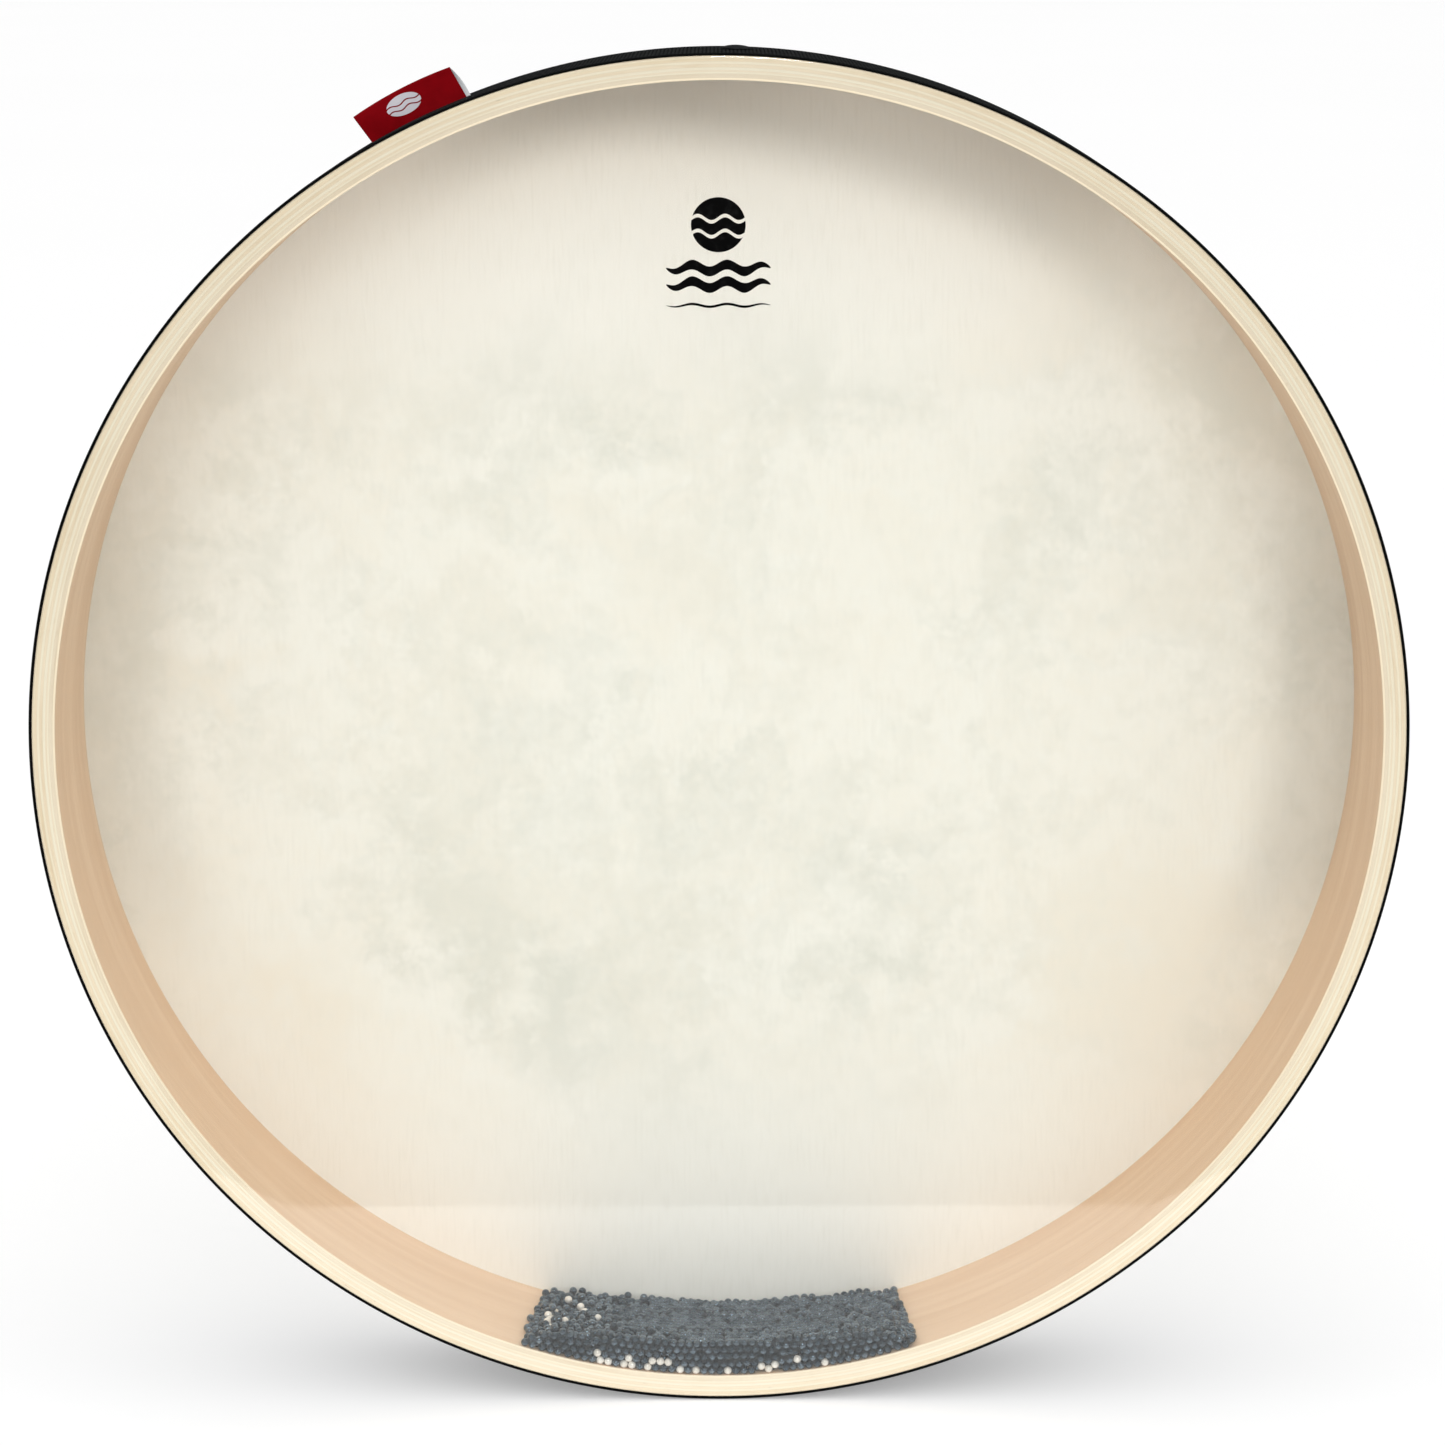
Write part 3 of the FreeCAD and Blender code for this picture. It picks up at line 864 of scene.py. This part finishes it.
def label():
    """The ribbon label: one strip that leaves the slit, folds over at the top and goes back in."""
    across, leaf_rows = 44, 16
    turns = (0.25, 0.5, 0.75)
    sink = LABEL_SINK / (TOP_RIGHT_HEIGHT + 0.5 * MM)
    vertices = []
    for i in range(across + 1):
        u = i / across
        for j in range(leaf_rows + 1):
            v = lerp(-sink, 1.0, j / leaf_rows)
            vertices.append(to_frame(*on_label(u, v)))
        along, y, out = on_label(u, 1.0)
        for turn in turns:
            swing = math.pi * turn
            vertices.append(to_frame(along, y + LEAVES / 2 * (1 - math.cos(swing)),
                                     out + LEAVES / 2 * math.sin(swing)))
        for j in range(leaf_rows + 1):
            v = lerp(1.0, -sink, j / leaf_rows)
            vertices.append(to_frame(*on_back_leaf(u, v) if v > 0 else back_foot(u, v)))
    rows = 2 * (leaf_rows + 1) + len(turns)
    faces = []
    for i in range(across):
        for j in range(rows - 1):
            a = i * rows + j
            faces.append((a, a + rows, a + rows + 1, a + 1))
    red = satin_material("red_satin", (0.225, 0.0006, 0.0035), (0.14, 0.0003, 0.002))
    grey = satin_material("label_reverse", (0.62, 0.63, 0.64), (0.42, 0.43, 0.45))
    edge = satin_material("label_edge", (0.05, 0.004, 0.008), (0.02, 0.002, 0.004))
    piece = make_object("red_label", vertices, faces, [red, grey, edge])
    smooth = piece.modifiers.new("soften", "SUBSURF")
    smooth.levels = 1
    solid = piece.modifiers.new("thickness", "SOLIDIFY")
    solid.thickness = LABEL_LEAF
    solid.offset = -1.0
    solid.material_offset = 1
    solid.material_offset_rim = 2
    return applied(piece)


def back_foot(u, v):
    """The back leaf's end inside the slit."""
    along, y, out = on_label(u, v)
    return along + BACK_SHIFT * u, y + LEAVES, out


def applied(piece):
    """The piece with its modifiers applied."""
    evaluated = piece.evaluated_get(bpy.context.evaluated_depsgraph_get())
    mesh = bpy.data.meshes.new_from_object(evaluated)
    piece.modifiers.clear()
    piece.data = mesh
    return piece


red_label = label()
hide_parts("label")
placed(red_label, "drum", "label_cloth")


def label_mark():
    """A plain woven oval on the label, cut by two wavy lines."""
    width, height = 13.4 * MM, 7.6 * MM
    centre_u, centre_v = 0.455, 0.56
    white = satin_material("white_satin", (0.62, 0.60, 0.64), (0.50, 0.48, 0.52), 0.5 * MM)

    def place(u, v, lift):
        along = centre_u + u / (2 * LABEL_HALF_WIDTH)
        up = centre_v + v * height / width / LABEL_HEIGHT
        return to_frame(*on_label(along, up, lift + 0.01 * MM))

    pieces = [strip("mark", part, place, 0.09 * MM, [white]) for part in wave_disc(width / 2)]
    return placed(joined(pieces, "label_mark"), "drum", "label_cloth")


label_mark()


# ---- plug

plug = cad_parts["filler_plug"]
plug.data.materials.clear()
plug.data.materials.append(plug_material())


# ---- steel shot

BALL = 3.0 * MM
PLANE_GAP = 2.56 * MM
ROW_GAP = 2.66 * MM
PITCH = 3.03 * MM
WALL_LIMIT = CHAMBER_RADIUS - BALL / 2
DEPTH_LIMIT = HOOP_BACK - BALL / 2
HEAP_LEFT, HEAP_RIGHT = 80 * MM, 78 * MM
HEAP_DEPTH = 15.3 * MM
HEAP_SHOULDER = 65 * MM
HEAP_END_SLOPE = math.tan(math.radians(34))
LATTICE_ROWS = 8


def heap_surface(x, depth):
    """Height of the settled shot at x, that far behind the film: it slopes down to the back."""
    return -CHAMBER_RADIUS + HEAP_DEPTH - 0.103 * depth + 0.95 * x * x


def heap_limit(points):
    """Height that the shot reaches at each point: the surface, cut by a steep slope at each end."""
    x, depth = points[:, 0], points[:, 1] - HOOP_FRONT
    shoulder = HEAP_SHOULDER + 0.06 * depth
    at_end = heap_surface(shoulder, depth) - HEAP_END_SLOPE * np.clip(np.abs(x) - shoulder, 0, None)
    return np.where(np.abs(x) > shoulder, at_end, heap_surface(x, depth))


def shot_lattice(random):
    """Close-packed balls in the heap's shape: neat on the right, shaken and thinner on the left."""
    points = []
    planes = int((2 * DEPTH_LIMIT) / PLANE_GAP + 1e-6) + 1
    for plane in range(planes):
        odd = plane % 2
        for row in range(LATTICE_ROWS):
            radius = WALL_LIMIT - row * ROW_GAP - odd * ROW_GAP / 3
            count = int(90 * MM / PITCH)
            for i in range(-count, count + 1):
                angle = (i + 0.5 * ((row + odd) % 2)) * PITCH / radius
                points.append((radius * math.sin(angle), -DEPTH_LIMIT + plane * PLANE_GAP,
                               -radius * math.cos(angle)))
    points = np.array(points)
    inside = points[:, 2] + 0.9 * MM < heap_limit(points)
    inside &= (points[:, 0] > -HEAP_LEFT) & (points[:, 0] < HEAP_RIGHT)
    points = points[inside]
    loose = np.clip((-points[:, 0] - 20 * MM) / (40 * MM), 0, 1)
    kept = random.random(len(points)) > 0.035 + 0.06 * loose
    points, loose = points[kept], loose[kept]
    return points + random.normal(size=points.shape) * (0.12 + 0.9 * loose)[:, None] * MM


def near_pairs(points, reach):
    """Index pairs of points closer than reach, found on a grid of that size."""
    cell = np.floor(points / reach).astype(np.int64)
    cell -= cell.min(axis=0) - 1
    size = cell.max(axis=0) + 2
    key = (cell[:, 0] * size[1] + cell[:, 1]) * size[2] + cell[:, 2]
    order = np.argsort(key, kind="stable")
    sorted_key = key[order]
    firsts, seconds = [], []
    for i, j, k in itertools.product((-1, 0, 1), repeat=3):
        shift = (i * size[1] + j) * size[2] + k
        if shift < 0:
            continue
        low = np.searchsorted(sorted_key, key + shift, "left")
        high = np.searchsorted(sorted_key, key + shift, "right")
        number = high - low
        first = np.repeat(np.arange(len(points)), number)
        base = np.repeat(low - np.cumsum(number) + number, number)
        second = order[np.arange(number.sum()) + base]
        if shift == 0:
            first, second = first[first < second], second[first < second]
        firsts.append(first)
        seconds.append(second)
    first, second = np.concatenate(firsts), np.concatenate(seconds)
    close = np.linalg.norm(points[first] - points[second], axis=1) < reach
    return first[close], second[close]


def kept_inside(points):
    """Points moved back inside wall and heads."""
    points[:, 1] = np.clip(points[:, 1], -DEPTH_LIMIT, DEPTH_LIMIT)
    radius = np.hypot(points[:, 0], points[:, 2])
    back = np.minimum(1.0, WALL_LIMIT / radius)
    points[:, 0] *= back
    points[:, 2] *= back
    return points


def pushed_apart(points, first, second):
    """One pass that moves overlapping balls apart."""
    gap = points[first] - points[second]
    distance = np.linalg.norm(gap, axis=1)
    overlap = np.clip(BALL - distance, 0, None)
    touching = overlap > 0
    first, second = first[touching], second[touching]
    push = (gap * (overlap / np.maximum(distance, 1e-9) * 0.5)[:, None])[touching]
    total = len(points)
    share = np.bincount(first, minlength=total) + np.bincount(second, minlength=total)
    move = np.stack([np.bincount(first, push[:, a], total) - np.bincount(second, push[:, a], total)
                     for a in range(3)], axis=1)
    return kept_inside(points + move / np.maximum(share, 1)[:, None] * 1.6)


SETTLING_STEPS, RESTING_STEPS = 160, 40
FALL = 0.06 * MM
LEAN = math.radians(8)  # how far the pull leans towards the film


def settled(points, steps):
    """Lets the balls sink and lean on the film in small steps, pushing overlaps apart after each."""
    pull = np.array([0, -math.sin(LEAN), -math.cos(LEAN)]) * FALL
    for step in range(steps + RESTING_STEPS):
        if step % 4 == 0:
            first, second = near_pairs(points, BALL * 1.25)
        if step < steps:
            points = points + pull * (1 - 0.9 * step / steps)
        for _ in range(4):
            points = pushed_apart(points, first, second)
    return points


def ball_cloud(name, centres, tones, subdivisions, material):
    """Many balls in one mesh."""
    work = bmesh.new()
    bmesh.ops.create_icosphere(work, subdivisions=subdivisions, radius=BALL / 2)
    shape = bpy.data.meshes.new("ball")
    work.to_mesh(shape)
    work.free()
    corners = np.array([v.co for v in shape.vertices])
    triangles = np.array([p.vertices for p in shape.polygons])
    bpy.data.meshes.remove(shape)
    vertices = (centres[:, None, :] + corners[None, :, :]).reshape(-1, 3)
    starts = np.arange(len(centres))[:, None, None] * len(corners)
    faces = (triangles[None, :, :] + starts).reshape(-1, 3)
    mesh = bpy.data.meshes.new(name)
    mesh.vertices.add(len(vertices))
    mesh.vertices.foreach_set("co", vertices.ravel())
    mesh.loops.add(faces.size)
    mesh.loops.foreach_set("vertex_index", faces.ravel())
    mesh.polygons.add(len(faces))
    mesh.polygons.foreach_set("loop_start", np.arange(0, faces.size, 3))
    mesh.update(calc_edges=True)
    mesh.shade_smooth()
    mesh.materials.append(material)
    piece = bpy.data.objects.new(name, mesh)
    bpy.context.scene.collection.objects.link(piece)
    point_values(piece, "tone", np.repeat(tones, len(corners)))
    return placed(piece, "shot", "steel_shot")


BRIGHT_PLACES = (  # x of the pale balls seen at the film and their row up from the wall
    (-46.0, 0), (-46.0, 1), (-43.0, 0), (-37.5, 0), (-34.2, 0), (-33.8, 1), (-28.3, 0), (-26.4, 1),
    (-23.4, 1), (-20.4, 1), (-16.5, 0), (-7.9, 0), (3.8, 0), (15.5, 0), (18.5, 0), (21.5, 0),
    (29.5, 1), (38.8, 0),
)


# pale balls on the heap's top at its left end: painted highlights standing in for glints of light
GLINTS = 13
GLINT_X, GLINT_Y = -56 * MM, -3 * MM


def pale_choice(centres):
    """The balls nearest to the places where pale ones lie against the film, and a few on the heap's top at
    its left end that stand in for glints of light there, a painted highlight."""
    chosen = []
    at_film = centres[:, 1] < -DEPTH_LIMIT + 1.2 * MM
    for x, row in BRIGHT_PLACES:
        reach = WALL_LIMIT - row * ROW_GAP
        target = np.array([x * MM, -DEPTH_LIMIT, -math.sqrt(reach ** 2 - (x * MM) ** 2)])
        distance = np.linalg.norm(centres - target, axis=1) + np.where(at_film, 0, 1)
        distance[chosen] = 2
        chosen.append(int(distance.argmin()))
    glints = (np.abs(centres[:, 0] - GLINT_X) < 10 * MM) & (np.abs(centres[:, 1] - GLINT_Y) < 15 * MM)
    glints &= centres[:, 2] > heap_surface(centres[:, 0], centres[:, 1] - HOOP_FRONT) - 4.5 * MM
    glints = np.nonzero(glints)[0]
    chosen += [int(i) for i in glints[::max(1, len(glints) // GLINTS)]]
    return np.array(chosen)


SHOT_PIECES = 6
CLOSED_IN = 11  # a ball with this many neighbours can't be seen


def shot():
    """All the balls: the seen ones in a few pieces from left to right, the buried ones, the pale ones."""
    random = np.random.default_rng(5)
    centres = kept_inside(shot_lattice(random))
    centres = settled(centres, steps=SETTLING_STEPS)
    tones = random.random(len(centres))
    first, second = near_pairs(centres, BALL * 1.15)
    neighbours = np.bincount(first, minlength=len(centres)) + np.bincount(second, minlength=len(centres))
    pale = np.zeros(len(centres), dtype=bool)
    pale[pale_choice(centres)] = True
    seen = (neighbours < CLOSED_IN) & ~pale
    buried = ~seen & ~pale
    steel = ball_material("dark_steel", (0.036, 0.060, 0.085), (0.165, 0.215, 0.265), 0.12, 0.95)
    bright = ball_material("pale_shot", (0.80, 0.74, 0.66), (0.92, 0.88, 0.82), 0.12, 0.2)
    order = np.argsort(centres[seen][:, 0], kind="stable")
    for number, group in enumerate(np.array_split(order, SHOT_PIECES)):
        name = "steel_shot_%d" % (number + 1)
        ball_cloud(name, centres[seen][group], tones[seen][group], 3, steel)
    ball_cloud("steel_shot_buried", centres[buried], tones[buried], 2, steel)
    ball_cloud("pale_shot", centres[pale], tones[pale], 3, bright)
    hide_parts("shot_bed", "stray_shot")


shot()


# ---- floor, light and camera

CARD_DEPTH = 209 * MM


def level_plate(name, half_width, front, back, z, unseen_by):
    """A level square of the studio, left out for those kinds of ray."""
    corners = [(-half_width, front, z), (half_width, front, z), (half_width, back, z), (-half_width, back, z)]
    plate = make_object(name, corners, [(0, 1, 2, 3)], [floor_material()])
    for kind in unseen_by:
        setattr(plate, "visible_" + kind, False)


def studio():
    """A pale floor, a pale surround, three large soft lights, and a small one for the steel's sparkle. A
    white card in front of the drum is seen only as the film's faint mirror image."""
    floor_z = cad_low.z - 0.05 * MM
    level_plate("floor", 40.0, -40.0, 40.0, floor_z, ("glossy",))
    level_plate("white_card", 1.2, FILM_FACE - CARD_DEPTH, FILM_FACE, floor_z + 0.2 * MM,
                ("camera", "diffuse", "shadow", "transmission"))

    world = bpy.data.worlds.new("studio")
    bpy.context.scene.world = world
    world.use_nodes = True
    tree = world.node_tree
    background = tree.nodes["Background"]
    sky = add(tree, "SeparateXYZ", {0: add(tree, "TexCoord").outputs["Generated"]})
    ray = add(tree, "LightPath").outputs
    below = times(tree, ray["Is Glossy Ray"], ramp(tree, sky.outputs[2], 0.10, -0.12))
    tree.links.new(mix_colour(tree, below, (1.0, 1.0, 1.0), (0.06, 0.06, 0.06)), background.inputs["Color"])
    strength = ramp(tree, sky.outputs[1], -0.25, 0.25, 1.20, 0.75)
    strength = times(tree, strength, ramp(tree, ray["Is Glossy Ray"], 0.0, 1.0, 1.0, 0.12))
    strength = math_node(tree, "MAXIMUM", strength, ray["Is Camera Ray"])
    tree.links.new(strength, background.inputs["Strength"])

    add_area("high", (0.0, -2.35, 1.2), (0.0, 0.0, 0.0), 1.6, 1.0, 6.0)
    add_area("higher", (0.0, -1.9, 1.95), (0.0, 0.0, 0.0), 1.6, 1.0, 4.0)
    add_area("right", (2.4, -1.2, 0.7), (0.0, 0.0, 0.0), 1.2, 1.2, 3.3)
    sparkle = add_area("sparkle", (0.1, -1.9, 1.3), (0.0, 0.0, -0.2), 0.25, 0.25, 16.0)
    sparkle.visible_diffuse = False


def add_area(name, place, target, width, height, power):
    """A rectangular light that shines from place towards target."""
    light = bpy.data.lights.new(name, "AREA")
    light.shape = "RECTANGLE"
    light.size = width
    light.size_y = height
    light.energy = power
    lamp = bpy.data.objects.new(name, light)
    lamp.location = place
    lamp.rotation_euler = (Vector(target) - Vector(place)).to_track_quat("-Z", "Y").to_euler()
    bpy.context.scene.collection.objects.link(lamp)
    return lamp


def camera():
    """The photograph's view: just above the drum's middle, looking a little down at the film."""
    data = bpy.data.cameras.new("camera")
    data.lens = 88.85
    data.sensor_width = 36.0
    data.clip_start = 0.05
    data.clip_end = 200.0
    view = bpy.data.objects.new("camera", data)
    view.location = (0.0, -1.28885, 0.29216)
    down = math.radians(12.566)
    view.rotation_euler = Euler((math.pi / 2 - down, math.radians(0.09), math.radians(-0.0744)), "XYZ")
    bpy.context.scene.collection.objects.link(view)
    bpy.context.scene.camera = view


studio()
camera()
bpy.context.scene.view_settings.view_transform = "Standard"
